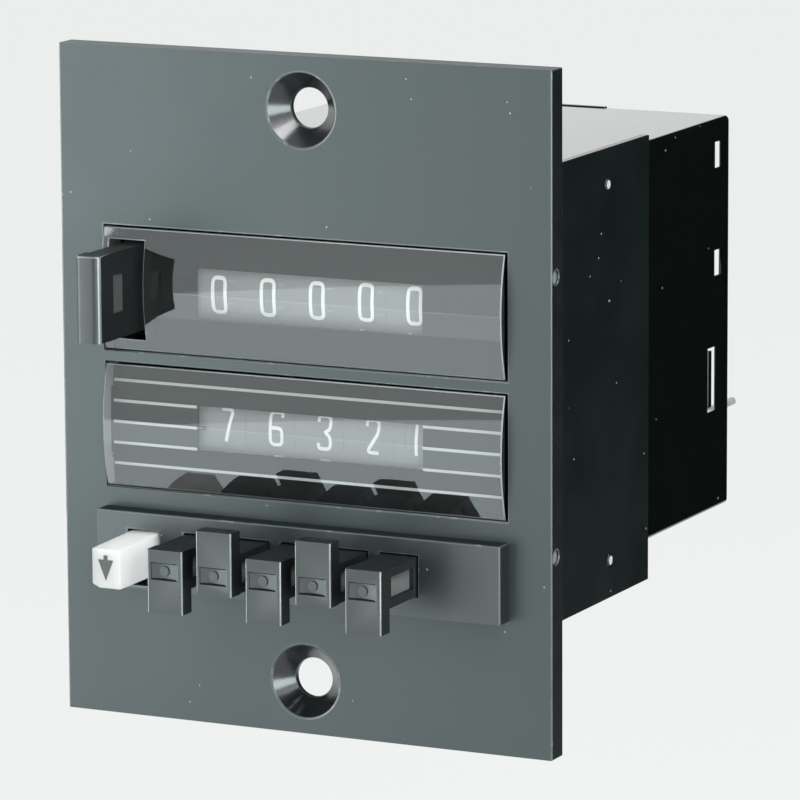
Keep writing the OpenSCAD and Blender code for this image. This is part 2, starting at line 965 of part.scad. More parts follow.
module key_comb() {
    color(pale)
        difference() {
            union() {
                block(both(2 * case_in), [comb_y[0], rest_y[1]], [bed_z, bed_z + bed_t]);
                block(both(2 * case_in), comb_y, [bed_z, comb_top]);
                block(both(2 * case_in), rest_y, [bed_z, rest_top]);
            }
            for (k = [1:5])
                block(around(key_x(k), key_w + 2 * slide_gap), [comb_y[0] - cut, comb_y[1] + cut],
                    [stem_low - slide_gap, comb_top + cut]);
        }
}

// Drive coil: the yoke's base spans the frames and its rear leg carries the armature
module coil_yoke() {
    color(steel)
        difference() {
            union() {
                block(both(2 * yoke_w), yoke_y, yoke_z);
                block(both(2 * frame_in), arm_strip_y, yoke_z);
                block(both(2 * yoke_w), [back_leg_y, back_leg_y + leg_t],
                    [yoke_z[0], armature_z[0] - run_gap]);
                for (side = [-1, 1])
                    block(side_span(side, [ear_in, yoke_w]), ear_y, [core_top - cut, ear_top]);
            }
            rod_x(pivot_r + run_gap, both(2 * yoke_w + cut), pivot_y, pivot_z);
            block(both(2 * ear_in), [back_leg_y - cut, ear_y[1] + cut], [core_top - cut, ear_top]);
        }
}

module coil_core() {
    color(steel)
        rod_z(core_r, [yoke_z[1], core_top], 0, coil_y);
}

module coil_bobbin() {
    color(pale)
        difference() {
            union() {
                rod_z(core_r + run_gap + bobbin_wall, [yoke_z[1], bobbin_top], 0, coil_y);
                rod_z(bobbin_r, [yoke_z[1], yoke_z[1] + bobbin_t], 0, coil_y);
                rod_z(bobbin_r, [bobbin_top - bobbin_t, bobbin_top], 0, coil_y);
            }
            rod_z(core_r + run_gap, [yoke_z[1] - cut, bobbin_top + cut], 0, coil_y);
        }
}

module coil_winding() {
    color(copper)
        difference() {
            rod_z(winding_r, [yoke_z[1] + bobbin_t, bobbin_top - bobbin_t], 0, coil_y);
            rod_z(core_r + 2 * run_gap + bobbin_wall, [yoke_z[1], bobbin_top], 0, coil_y);
        }
}

module armature() {
    arm_x = count_x(5) + drive_from;
    color(steel) {
        block(both(2 * armature_w), armature_y, armature_z);
        rod_x(pivot_r, both(2 * yoke_w), pivot_y, pivot_z);
        block([-armature_w, arm_x + drive_arm_t], [bar_front, armature_y[0] + cut], armature_z);
        block([arm_x, arm_x + drive_arm_t], [drive_arm_y, bar_front + cut], armature_z);
        block([arm_x, arm_x + drive_arm_t], [drive_arm_y, drive_arm_y + drive_arm_t],
            [drive_tip_z, armature_z[1]]);
    }
}

module armature_spring() {
    color(steel)
        rod_z(armature_spring_r, [yoke_z[1], armature_z[0]], 0, armature_spring_y);
}

// Contact switch on its bridge, with a hinged lever in front
module switch_body() {
    color(key_black)
        difference() {
            union() {
                block(switch_x, switch_y, [bridge_z[1], switch_top]);
                for (x = [lever_x[0] - lever_ear_t - run_gap, lever_x[1] + run_gap])
                    block([x, x + lever_ear_t], [lever_ear_y, switch_y[0] + cut],
                        around(lever_z, 2 * lever_ear_h));
            }
            rod_x(lever_pin_r + run_gap, [lever_x[0] - cut, lever_x[1] + cut], lever_y, lever_z);
        }
}

module switch_lever() {
    color(steel) {
        rod_x(lever_pin_r, [lever_x[0] - lever_ear_t, lever_x[1] + lever_ear_t], lever_y, lever_z);
        block(lever_x, around(lever_y, lever_t), [lever_z, lever_top]);
    }
}

front_plate();
count_lens();
preset_lens();
count_mask();
preset_mask();
cheek_left();
cheek_right();
cheek_screws();
cheek_pins();
case_hood();
bottom_cover();
rear_cover();
terminal_pins();
frame_left();
frame_right();
frame_pillars();
pillar_screws();
switch_bridge();
count_shaft();
preset_shaft();
pinion_shaft();
for (k = [1:5]) count_wheel(k);
for (k = [1:5]) preset_wheel(k);
for (k = [1:4]) carry_pinion(k);
reset_key();
reset_spring();
reset_bail();
unlock_key();
lock_bar();
unlock_spring();
for (k = [1:5]) preset_key(k);
for (k = [1:5]) key_spring(k);
key_comb();
coil_bobbin();
coil_winding();
coil_core();
coil_yoke();
armature();
armature_spring();
switch_body();
switch_lever();
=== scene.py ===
# Panel-mounted batch counter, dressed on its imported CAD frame. All lengths are in metres.
import json
import math

import bmesh
import bpy
from mathutils import Matrix, Vector

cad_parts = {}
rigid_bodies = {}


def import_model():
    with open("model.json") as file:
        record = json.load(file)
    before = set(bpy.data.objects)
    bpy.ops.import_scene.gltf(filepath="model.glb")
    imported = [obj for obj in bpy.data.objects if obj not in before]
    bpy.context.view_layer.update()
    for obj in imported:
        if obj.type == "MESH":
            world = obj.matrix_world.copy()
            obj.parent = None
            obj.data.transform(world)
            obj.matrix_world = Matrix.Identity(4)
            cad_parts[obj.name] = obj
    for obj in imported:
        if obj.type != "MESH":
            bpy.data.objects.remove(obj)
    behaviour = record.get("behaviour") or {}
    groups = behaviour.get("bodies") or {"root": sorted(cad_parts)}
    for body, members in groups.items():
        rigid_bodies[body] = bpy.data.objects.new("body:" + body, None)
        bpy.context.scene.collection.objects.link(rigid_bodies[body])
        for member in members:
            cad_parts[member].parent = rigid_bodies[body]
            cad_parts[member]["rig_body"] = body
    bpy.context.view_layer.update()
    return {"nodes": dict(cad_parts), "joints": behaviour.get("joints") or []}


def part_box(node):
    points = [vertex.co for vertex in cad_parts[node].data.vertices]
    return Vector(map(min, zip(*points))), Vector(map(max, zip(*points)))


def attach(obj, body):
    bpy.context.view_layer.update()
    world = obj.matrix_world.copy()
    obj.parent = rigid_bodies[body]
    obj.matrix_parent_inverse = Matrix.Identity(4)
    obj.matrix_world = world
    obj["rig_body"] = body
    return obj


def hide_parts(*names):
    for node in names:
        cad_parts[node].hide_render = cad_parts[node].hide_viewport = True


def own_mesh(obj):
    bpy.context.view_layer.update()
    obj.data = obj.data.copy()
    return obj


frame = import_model()

# Mechanism frames, pillars and shafts: sheet and turned steel, zinc plated, screwed together.
# The reset bail, lock bar, switch parts and the coil's iron have the same plating.
mm = 0.001
nodes = frame["nodes"]


def finish(name, colour, roughness, shade=0.1, patch=6.0, grain=0.15, depth=0.003, **sockets):
    """A finish on Object coordinates: soft patches of colour and gloss, and a fine grain.

    The colour strays by the share shade. The sizes patch, grain and depth are in millimetres.
    """
    gloss_spread = 0.12
    material = bpy.data.materials.new(name)
    material.use_nodes = True
    tree = material.node_tree
    shader = tree.nodes["Principled BSDF"]
    place = tree.nodes.new("ShaderNodeTexCoord")
    patches = tree.nodes.new("ShaderNodeTexNoise")
    patches.inputs["Scale"].default_value = 1 / (patch * mm)
    patches.inputs["Detail"].default_value = 5
    tint = tree.nodes.new("ShaderNodeMix")
    tint.data_type = "RGBA"
    tint.inputs[6].default_value = (*[c * (1 - shade) for c in colour], 1)
    tint.inputs[7].default_value = (*[min(1, c * (1 + shade)) for c in colour], 1)
    gloss = tree.nodes.new("ShaderNodeMapRange")
    gloss.inputs["From Min"].default_value = 0.3
    gloss.inputs["From Max"].default_value = 0.7
    gloss.inputs["To Min"].default_value = roughness * (1 - gloss_spread)
    gloss.inputs["To Max"].default_value = min(1, roughness * (1 + gloss_spread))
    grains = tree.nodes.new("ShaderNodeTexNoise")
    grains.inputs["Scale"].default_value = 1 / (grain * mm)
    grains.inputs["Detail"].default_value = 2
    relief = tree.nodes.new("ShaderNodeBump")
    relief.inputs["Distance"].default_value = depth * mm
    tree.links.new(place.outputs["Object"], patches.inputs["Vector"])
    tree.links.new(place.outputs["Object"], grains.inputs["Vector"])
    tree.links.new(patches.outputs["Fac"], tint.inputs[0])
    tree.links.new(patches.outputs["Fac"], gloss.inputs["Value"])
    tree.links.new(grains.outputs["Fac"], relief.inputs["Height"])
    tree.links.new(tint.outputs[2], shader.inputs["Base Color"])
    tree.links.new(gloss.outputs["Result"], shader.inputs["Roughness"])
    tree.links.new(relief.outputs["Normal"], shader.inputs["Normal"])
    for socket, value in sockets.items():
        shader.inputs[socket.replace("_", " ").title().replace("Ior", "IOR")].default_value = value
    return material


def dress(material, *names):
    """Gives a finish to CAD nodes that keep their shape."""
    for name in names:
        nodes[name].material_slots[0].material = material


zinc = finish("zinc_plate", (0.56, 0.57, 0.56), 0.34, shade=0.12, patch=3, grain=0.08, metallic=1.0)
dress(zinc, "frame_left", "frame_right", "frame_pillars", "pillar_screws", "switch_bridge", "count_shaft",
      "preset_shaft", "pinion_shaft", "reset_bail", "lock_bar", "coil_core", "coil_yoke", "armature",
      "switch_lever", "cheek_screws")

# Drive coil: enamelled copper wire on a natural nylon bobbin, pressed over the iron core.
# The carry pinions and the key comb are moulded in the same natural nylon.
# The contact switch beside it has a black moulded body.
wire_pitch, wire_relief = 0.35 * mm, 0.08 * mm
band_at_scale_one = 0.32
nylon = finish("natural_nylon", (0.62, 0.6, 0.52), 0.45, shade=0.05, patch=4)
dress(nylon, "coil_bobbin", "key_comb", "carry_pinion_1", "carry_pinion_2", "carry_pinion_3", "carry_pinion_4")
copper = finish("enamelled_copper", (0.5, 0.19, 0.07), 0.3, shade=0.25, patch=0.6, metallic=1.0)
tree = copper.node_tree
turns = tree.nodes.new("ShaderNodeTexWave")
turns.bands_direction = "Z"
turns.inputs["Scale"].default_value = band_at_scale_one / wire_pitch
tree.nodes["Bump"].inputs["Distance"].default_value = wire_relief
tree.links.new(tree.nodes["Texture Coordinate"].outputs["Object"], turns.inputs["Vector"])
tree.links.new(turns.outputs["Fac"], tree.nodes["Bump"].inputs["Height"])
dress(copper, "coil_winding")
dress(finish("switch_black", (0.02, 0.02, 0.02), 0.4), "switch_body")

# Return springs: coiled spring wire, one behind each key and one on the armature.
# Each sits on its rest.
spring_wire_r = 0.16 * mm
spring_wire = finish("spring_wire", (0.5, 0.5, 0.52), 0.28, patch=2, metallic=1.0)


def join_nodes(tree, *links):
    """Joins an output of one node to an input of another, once for each link."""
    for source, output, target, entry in links:
        tree.links.new(source.outputs[output], target.inputs[entry])


def new_tree(name, **inputs):
    """A Geometry Nodes tree with named inputs; its end makes the instances real and gives them the finish."""
    tree = bpy.data.node_groups.new(name, "GeometryNodeTree")
    for label, kind in {**inputs, "Finish": "Material"}.items():
        tree.interface.new_socket(label, in_out="INPUT", socket_type="NodeSocket" + kind)
    tree.interface.new_socket("Geometry", in_out="OUTPUT", socket_type="NodeSocketGeometry")
    given = tree.nodes.new("NodeGroupInput")
    real = tree.nodes.new("GeometryNodeRealizeInstances")
    painted = tree.nodes.new("GeometryNodeSetMaterial")
    made = tree.nodes.new("NodeGroupOutput")
    join_nodes(tree, (real, "Geometry", painted, "Geometry"), (given, "Finish", painted, "Material"),
               (painted, "Geometry", made, "Geometry"))
    return tree, given, real


def grown_mesh(tree, **values):
    """The plain mesh that a tree makes from a value for each of its inputs."""
    stand_in = bpy.data.objects.new(tree.name, bpy.data.meshes.new(tree.name))
    bpy.context.scene.collection.objects.link(stand_in)
    growth = stand_in.modifiers.new("growth", "NODES")
    growth.node_group = tree
    for entry in tree.interface.items_tree:
        if entry.in_out == "INPUT":
            growth[entry.identifier] = values[entry.name]
    mesh = bpy.data.meshes.new_from_object(stand_in.evaluated_get(bpy.context.evaluated_depsgraph_get()))
    bpy.data.objects.remove(stand_in)
    return mesh


coil_tree, given, real = new_tree("spring_coil", Turns="Float", Radius="Float", Length="Float", Wire="Float")
helix = coil_tree.nodes.new("GeometryNodeCurveSpiral")
helix.inputs["Resolution"].default_value = 18
wire = coil_tree.nodes.new("GeometryNodeCurvePrimitiveCircle")
wire.inputs["Resolution"].default_value = 8
swept = coil_tree.nodes.new("GeometryNodeCurveToMesh")
swept.inputs["Fill Caps"].default_value = True
join_nodes(coil_tree, (given, "Turns", helix, "Rotations"), (given, "Radius", helix, "Start Radius"),
           (given, "Radius", helix, "End Radius"), (given, "Length", helix, "Height"),
           (given, "Wire", wire, "Radius"), (helix, "Curve", swept, "Curve"),
           (wire, "Curve", swept, "Profile Curve"), (swept, "Mesh", real, "Geometry"))


def spring(node, axis, turn_count):
    """A wire spring in the place of a CAD spring, from its low end to its high end along axis."""
    low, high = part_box(node)
    along = "xyz".index(axis)
    across = (high - low)["zxy".index(axis)] / 2
    mesh = grown_mesh(coil_tree, Turns=turn_count, Radius=across - spring_wire_r,
                      Length=(high - low)[along] - 2 * spring_wire_r, Wire=spring_wire_r, Finish=spring_wire)
    start = (low + high) / 2
    start[along] = low[along] + spring_wire_r
    turn = Matrix.Rotation(math.radians(-90), 4, "X") if axis == "y" else Matrix.Identity(4)
    mesh.transform(Matrix.Translation(start) @ turn)
    mesh.polygons.foreach_set("use_smooth", [True] * len(mesh.polygons))
    piece = bpy.data.objects.new(node + "_wire", mesh)
    bpy.context.scene.collection.objects.link(piece)
    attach(piece, "housing")
    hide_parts(node)
    return piece, low, high


for k in range(1, 6):
    piece, low, high = spring(f"key_spring_{k}", "y", 7.0)
    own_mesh(piece)
piece, low, high = spring("reset_spring", "y", 9.0)
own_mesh(piece)
piece, low, high = spring("unlock_spring", "z", 4.0)
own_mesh(piece)
spring("armature_spring", "z", 20.0)

# Number wheels: grey moulded drums on the two shafts, with white digits printed round their rims.
# The count wheels show the next digit from below, the preset wheels from above.
digit_corner = 0.55 * mm
digit_proud, digit_sunk = 0.02 * mm, 0.04 * mm
drum_grey = finish("wheel_grey", (0.29, 0.297, 0.301), 0.5, shade=0.06, patch=2.5, grain=0.1,
                   specular_ior_level=0.15)
dress(drum_grey, *[f"{row}_wheel_{k}" for row in ("count", "preset") for k in range(1, 6)])
digit_white = finish("digit_white", (0.94, 0.95, 0.95), 0.45, shade=0.03, patch=0.8, grain=0.05, depth=0.001)
zero_loop = [(-0.5, -0.5), (0.5, -0.5), (0.5, 0.5), (-0.5, 0.5)]
digit_strokes = {
    0: [(zero_loop, True)],
    1: [([(-0.5, -0.5), (-0.5, 0.5)], False)],
    2: [([(-0.5, 0.3), (-0.5, 0.5), (0.5, 0.5), (0.5, 0.12), (-0.5, -0.5), (0.5, -0.5)], False)],
    3: [([(-0.5, 0.32), (-0.5, 0.5), (0.5, 0.5), (0.5, 0.12), (0.0, 0.0)], False),
        ([(0.12, 0.0), (0.5, -0.12), (0.5, -0.5), (-0.5, -0.5), (-0.5, -0.32)], False)],
    4: [([(0.2, -0.5), (0.2, 0.5), (-0.5, -0.2), (0.5, -0.2)], False)],
    5: [([(0.5, 0.5), (-0.5, 0.5), (-0.5, 0.06), (0.5, 0.06), (0.5, -0.5), (-0.5, -0.5), (-0.5, -0.34)], False)],
    6: [([(0.5, 0.34), (0.5, 0.5), (-0.5, 0.5), (-0.5, -0.5), (0.5, -0.5), (0.5, 0.02), (-0.42, 0.02)], False)],
    7: [([(-0.5, 0.5), (0.5, 0.5), (-0.1, -0.5)], False)],
    8: [(zero_loop, True), ([(-0.4, 0.02), (0.4, 0.02)], False)],
    9: [([(-0.5, -0.34), (-0.5, -0.5), (0.5, -0.5), (0.5, 0.5), (-0.5, 0.5), (-0.5, -0.02), (0.42, -0.02)], False)],
}


def rounded_path(corners, closed, radius, arc_steps=4, longest=0.4 * mm):
    """The corner points joined by short arcs, then split so that no step is over the longest."""
    count = len(corners)
    path = []
    for i, here in enumerate(corners):
        if not closed and i in (0, count - 1):
            path.append(here)
            continue
        inward, outward = corners[i - 1] - here, corners[(i + 1) % count] - here
        cut = min(radius, inward.length / 2, outward.length / 2)
        start, end = here + inward.normalized() * cut, here + outward.normalized() * cut
        for step in range(arc_steps + 1):
            t = step / arc_steps
            path.append(start * (1 - t) ** 2 + here * 2 * t * (1 - t) + end * t ** 2)
    fine = []
    for first, second in zip(path, path[1:] + path[:1] if closed else path[1:]):
        pieces = max(1, math.ceil((second - first).length / longest))
        fine += [first.lerp(second, n / pieces) for n in range(pieces)]
    return fine if closed else fine + [path[-1]]


def paint_stroke(mesh, path, closed, width, place):
    """A raised band along a flat path; place turns a flat point and a lift into a point in space."""
    rows = []
    for i, here in enumerate(path):
        before = path[i - 1] if closed or i else here
        after = path[(i + 1) % len(path)] if closed or i < len(path) - 1 else here
        side = (after - before).normalized()
        side = Vector((-side.y, side.x)) * width / 2
        rows.append([mesh.verts.new(place(here + side * s, lift)) for s, lift in ((1, 1), (-1, 1), (-1, 0), (1, 0))])
    for a, b in zip(rows, rows[1:] + rows[:1] if closed else rows[1:]):
        for n in range(4):
            mesh.faces.new((a[n], a[(n + 1) % 4], b[(n + 1) % 4], b[n]))
    if not closed:
        mesh.faces.new(rows[0][::-1])
        mesh.faces.new(rows[-1])


def set_in_place(name, work, body, slot, *finishes):
    """Makes a piece of the mesh in work, with its finishes, that moves with a body."""
    mesh = bpy.data.meshes.new(name)
    work.to_mesh(mesh)
    work.free()
    for material in finishes:
        mesh.materials.append(material)
    piece = bpy.data.objects.new(name, mesh)
    bpy.context.scene.collection.objects.link(piece)
    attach(piece, body)


def print_wheel(row, k, shown, tall, wide, stroke, rise, shift, way):
    """Prints ten digits round a wheel's rim, the shown one in front; way is the side the next one comes from."""
    low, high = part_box(f"{row}_wheel_{k}")
    axis = next(joint["pos_m"] for joint in frame["joints"] if joint["name"] == f"{row}_turn_{k}")
    radius = (high.z - low.z) / 2
    work = bmesh.new()
    for n in range(10):
        base = way * n * math.tau / 10 + rise / radius

        def on_rim(flat, lift, base=base):
            angle = base + flat.y / radius
            r = radius + (digit_proud if lift else -digit_sunk)
            return Vector((axis[0] + shift + flat.x, axis[1] - r * math.cos(angle), axis[2] + r * math.sin(angle)))

        for corners, closed in digit_strokes[(shown + n) % 10]:
            spots = [Vector((x * (wide - stroke), y * (tall - stroke))) for x, y in corners]
            paint_stroke(work, rounded_path(spots, closed, digit_corner), closed, stroke, on_rim)
    bmesh.ops.recalc_face_normals(work, faces=work.faces)
    set_in_place(f"{row}_digits_{k}", work, f"{row}_wheel_{k}", "wheel", digit_white)


count_rests = ((-0.41, 0.65), (-0.31, 0.65), (-0.24, 0.65), (-0.03, 0.6), (-0.03, 0.42))
for k, (rise, shift) in enumerate(count_rests, 1):
    print_wheel("count", k, 0, 3.95 * mm, 1.92 * mm, 0.4 * mm, rise * mm, shift * mm, -1)
preset_rests = ((7, 0.32, 0.57), (6, 0.45, 0.64), (3, 0.45, 0.55), (2, 0.5, 0.4), (1, 0.58, 0.4))
for k, (shown, rise, shift) in enumerate(preset_rests, 1):
    print_wheel("preset", k, shown, 3.65 * mm, 1.8 * mm, 0.36 * mm, rise * mm, shift * mm, 1)

# Number shields: grey strips that stand between the wheels behind each mask and hide the gear teeth.
# They are bent to the wheels' curve, and the count row's carry two faint index marks each.
shield_gap, shield_t = 0.02 * mm, 0.3 * mm
shield_turn, shield_bends = math.radians(24), 12
mark_from, mark_to, mark_half = 0.3 * mm, 0.95 * mm, 0.07 * mm
mark_proud, mark_sunk = 0.015 * mm, 0.05 * mm
mark_grey = finish("mark_grey", (0.36, 0.37, 0.37), 0.5, shade=0.05, patch=0.8)


def shield_strips(row, spans, marks):
    """A strip for each span across a row of wheels, with an index mark at each of the heights in marks."""
    low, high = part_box(f"{row}_wheel_3")
    axis_y, axis_z = (low.y + high.y) / 2, (low.z + high.z) / 2
    outer = (high.z - low.z) / 2 - shield_gap
    work = bmesh.new()

    def on_curve(across, angle, r):
        return work.verts.new((across, axis_y - r * math.cos(angle), axis_z + r * math.sin(angle)))

    def strip(start, end, turn_from, turn_to, r_out, r_in, finish_number):
        rows = []
        for n in range(shield_bends + 1):
            angle = turn_from + (turn_to - turn_from) * n / shield_bends
            rows.append([on_curve(x, angle, r) for x, r in
                         ((start, r_out), (end, r_out), (end, r_in), (start, r_in))])
        faces = [work.faces.new(rows[0]), work.faces.new(rows[-1][::-1])]
        for a, b in zip(rows, rows[1:]):
            faces += [work.faces.new((a[n], a[(n + 1) % 4], b[(n + 1) % 4], b[n])) for n in range(4)]
        for face in faces:
            face.material_index = finish_number

    for start, end in spans:
        strip(start + shield_gap, end - shield_gap, -shield_turn, shield_turn, outer, outer - shield_t, 0)
        for height in marks:
            strip(start + mark_from, start + mark_to, (height - mark_half) / outer, (height + mark_half) / outer,
                  outer + mark_proud, outer - mark_sunk, 1)
    bmesh.ops.recalc_face_normals(work, faces=work.faces)
    set_in_place(f"{row}_shields", work, "housing", "wheel", drum_grey, mark_grey)


wheel_step = 6 * mm
count_rim = (-2.85 * mm, 1.6 * mm)
preset_rim = (-0.7 * mm, 3.75 * mm)
shield_strips("count", [((n - 3) * wheel_step + count_rim[1], (n - 2) * wheel_step + count_rim[0])
                        for n in range(1, 6)], (1.1 * mm, -1.15 * mm))
shield_strips("preset", [((n - 3) * wheel_step + preset_rim[1], (n - 2) * wheel_step + preset_rim[0])
                         for n in range(0, 5)], ())

# Masks: thin black sheets behind the lenses, open where the digits show.
# Five pale lines are printed across the preset mask, and a small pointer stands at its opening.
# A dark margin is printed on the lenses' backs at each end.
low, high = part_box("preset_mask")
centre = (low + high) / 2
number_half = 13.8 * mm
line_step, line_end = 2.21 * mm, 24.2 * mm
line_w, line_t = 0.3 * mm, 0.05 * mm
line_y = low.y - 0.085 * mm
margin_from, margin_w, margin_t = 23.4 * mm, 0.88 * mm, 0.04 * mm
margin_y = low.y - 0.035 * mm
pointer_length, pointer_foot_r, pointer_tip_r = 1.0 * mm, 0.22 * mm, 0.16 * mm
pointer_at = (-number_half + 0.45 * mm, low.y + 0.2 * mm, centre.z)
mask_black = finish("mask_black", (0.008, 0.009, 0.009), 0.7, shade=0.15, patch=4, grain=0.4, depth=0.0003,
                    specular_ior_level=0.1)
dress(mask_black, "count_mask", "preset_mask")
line_white = finish("line_white", (0.5, 0.515, 0.51), 0.5, shade=0.05, patch=2)
line_tree, given, real = new_tree("printed_lines", Count="Int", First="Vector", Step="Vector", Size="Vector")
row = line_tree.nodes.new("GeometryNodeMeshLine")
bar = line_tree.nodes.new("GeometryNodeMeshCube")
copies = line_tree.nodes.new("GeometryNodeInstanceOnPoints")
join_nodes(line_tree, (given, "Count", row, "Count"), (given, "First", row, "Start Location"),
           (given, "Step", row, "Offset"), (given, "Size", bar, "Size"), (row, "Mesh", copies, "Points"),
           (bar, "Mesh", copies, "Instance"), (copies, "Instances", real, "Geometry"))
work = bmesh.new()
for first, step, count, start, end in ((-2, 4, 2, -line_end, line_end), (-1, 1, 3, -line_end, -number_half),
                                       (-1, 1, 3, number_half, line_end)):
    work.from_mesh(grown_mesh(
        line_tree, Count=count, First=((start + end) / 2, line_y, centre.z + first * line_step),
        Step=(0.0, 0.0, step * line_step), Size=(end - start, line_t, line_w), Finish=line_white))
set_in_place("preset_lines", work, "housing", "mask", line_white)
work = bmesh.new()
for lens_node in ("count_lens", "preset_lens"):
    lens_low, lens_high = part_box(lens_node)
    for side in (-1, 1):
        for v in bmesh.ops.create_cube(work, size=1)["verts"]:
            v.co = Vector((side * (margin_from + (v.co.x + 0.5) * margin_w), margin_y + v.co.y * margin_t,
                           (lens_low.z + lens_high.z) / 2 + v.co.z * (lens_high.z - lens_low.z)))
bmesh.ops.recalc_face_normals(work, faces=work.faces)
set_in_place("lens_margins", work, "housing", "mask", mask_black)
work = bmesh.new()
tip = bmesh.ops.create_cone(work, cap_ends=True, segments=24, radius1=pointer_foot_r, radius2=pointer_tip_r,
                            depth=pointer_length)
bmesh.ops.transform(work, verts=tip["verts"],
                    matrix=Matrix.Translation(pointer_at) @ Matrix.Rotation(math.radians(90), 4, "Y"))
set_in_place("preset_pointer", work, "housing", "mask", finish("pointer_grey", (0.02, 0.022, 0.022), 0.5))

# Front plate: pressed plate in satin black enamel, with the key block standing out of its lower half.
# The paint is worn pale along the edges, and the paler edges are partly painted highlight; the countersinks are
# glossy.
block_from = -2.9 * mm
sink_at, sink_r = 31.6 * mm, 4.2 * mm
dent_x = 29.45 * mm
near = 0.05 * mm


def dusted(material, colour, spacing, size, share):
    """Scatters small pale specks over a finish; spacing and size are in millimetres."""
    tree = material.node_tree
    shader = tree.nodes["Principled BSDF"]
    dots = tree.nodes.new("ShaderNodeTexVoronoi")
    dots.inputs["Scale"].default_value = 1 / (spacing * mm)
    inside = tree.nodes.new("ShaderNodeMath")
    inside.operation = "LESS_THAN"
    inside.inputs[1].default_value = size / spacing
    pick = tree.nodes.new("ShaderNodeSeparateColor")
    some = tree.nodes.new("ShaderNodeMath")
    some.operation = "LESS_THAN"
    some.inputs[1].default_value = share
    both = tree.nodes.new("ShaderNodeMath")
    both.operation = "MULTIPLY"
    over = tree.nodes.new("ShaderNodeMix")
    over.data_type = "RGBA"
    over.inputs[7].default_value = (*colour, 1)
    tree.links.new(tree.nodes["Texture Coordinate"].outputs["Object"], dots.inputs["Vector"])
    tree.links.new(dots.outputs["Distance"], inside.inputs[0])
    tree.links.new(dots.outputs["Color"], pick.inputs["Color"])
    tree.links.new(pick.outputs["Red"], some.inputs[0])
    tree.links.new(inside.outputs[0], both.inputs[0])
    tree.links.new(some.outputs[0], both.inputs[1])
    tree.links.new(both.outputs[0], over.inputs[0])
    tree.links.new(shader.inputs["Base Color"].links[0].from_socket, over.inputs[6])
    tree.links.new(over.outputs[2], shader.inputs["Base Color"])


def softened(name, node, edge, finishes, edge_finish=0, steps=3, chosen=None):
    """A copy of a CAD solid with its hard outer edges rounded; the rounding takes the finish numbered edge_finish.

    Where chosen is given, only the edges whose two ends it accepts are rounded. The radius edge is in millimetres.
    """
    weld, flat_to, hard_from = 0.001 * mm, math.radians(0.4), math.radians(35)
    work = bmesh.new()
    work.from_mesh(nodes[node].data)
    bmesh.ops.remove_doubles(work, verts=work.verts, dist=weld)
    bmesh.ops.dissolve_limit(work, angle_limit=flat_to, verts=work.verts, edges=work.edges)
    weight = work.edges.layers.float.new("bevel_weight_edge")
    for line in work.edges:
        hard = line.calc_face_angle(0) > hard_from
        rounded = hard and line.is_convex and (chosen is None or chosen(*[v.co for v in line.verts]))
        line[weight] = rounded
        line.smooth = rounded or not hard
    mesh = bpy.data.meshes.new(name)
    work.to_mesh(mesh)
    work.free()
    mesh.attributes.remove(mesh.attributes["custom_normal"])
    for material in finishes:
        mesh.materials.append(material)
    mesh.polygons.foreach_set("material_index", [0] * len(mesh.polygons))
    mesh.polygons.foreach_set("use_smooth", [True] * len(mesh.polygons))
    piece = bpy.data.objects.new(name, mesh)
    bpy.context.scene.collection.objects.link(piece)
    rounding = piece.modifiers.new("rounded_edges", "BEVEL")
    rounding.width = edge * mm
    rounding.segments = steps
    rounding.limit_method = "WEIGHT"
    rounding.use_clamp_overlap = False
    rounding.harden_normals = True
    rounding.material = edge_finish
    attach(piece, nodes[node]["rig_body"])
    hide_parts(node)
    return piece


plate_enamel = finish("plate_enamel", (0.018, 0.028, 0.03), 0.42, shade=0.08, patch=14, grain=0.12,
                      depth=0.007, specular_ior_level=0.5)
dusted(plate_enamel, (0.3, 0.31, 0.31), 2.4, 0.11, 0.7)
# The key block: a darker copy of the plate's enamel, painted shade among the keys.
block_shade_enamel = finish("block_shade_enamel", (0.009, 0.014, 0.016), 0.38, shade=0.08, patch=9, grain=0.12,
                      depth=0.002, specular_ior_level=0.62)
dusted(block_shade_enamel, (0.3, 0.31, 0.31), 3.0, 0.11, 0.6)
# Rounded edges: a paler enamel, partly real wear and partly painted highlight.
worn_highlight_enamel = finish("worn_highlight_enamel", (0.042, 0.052, 0.055), 0.35, shade=0.4, patch=1.2, specular_ior_level=0.8)
dusted(worn_highlight_enamel, (0.12, 0.13, 0.13), 1.0, 0.4, 0.25)
sink_enamel = finish("sink_enamel", (0.01, 0.0135, 0.016), 0.2, shade=0.1, depth=0.001, specular_ior_level=0.8)
# The block's top and the plate's sides: a darker, duller copy of the enamel, painted shade.
shade_enamel = finish("shade_enamel", (0.006, 0.0085, 0.009), 0.5, shade=0.2, patch=3, specular_ior_level=0.15)
dent_grey = finish("dent_grey", (0.2, 0.215, 0.215), 0.5, shade=0.3, patch=0.5)
plate = softened("plate_pressing", "front_plate", 0.16,
                 [plate_enamel, worn_highlight_enamel, block_shade_enamel, sink_enamel, dent_grey, shade_enamel], edge_finish=1)
for face in plate.data.polygons:
    middle = face.center
    if middle.y < block_from:
        face.material_index = 5 if face.normal.z > 0.9 else 2
    elif abs(face.normal.y) < 0.95 and math.hypot(middle.x, abs(middle.z) - sink_at) < sink_r:
        face.material_index = 3
    elif abs(face.normal.x) > 0.9 and abs(abs(middle.x) - dent_x) < near:
        face.material_index = 4
    elif abs(face.normal.x) > 0.9 and abs(middle.x) > dent_x:
        face.material_index = 5

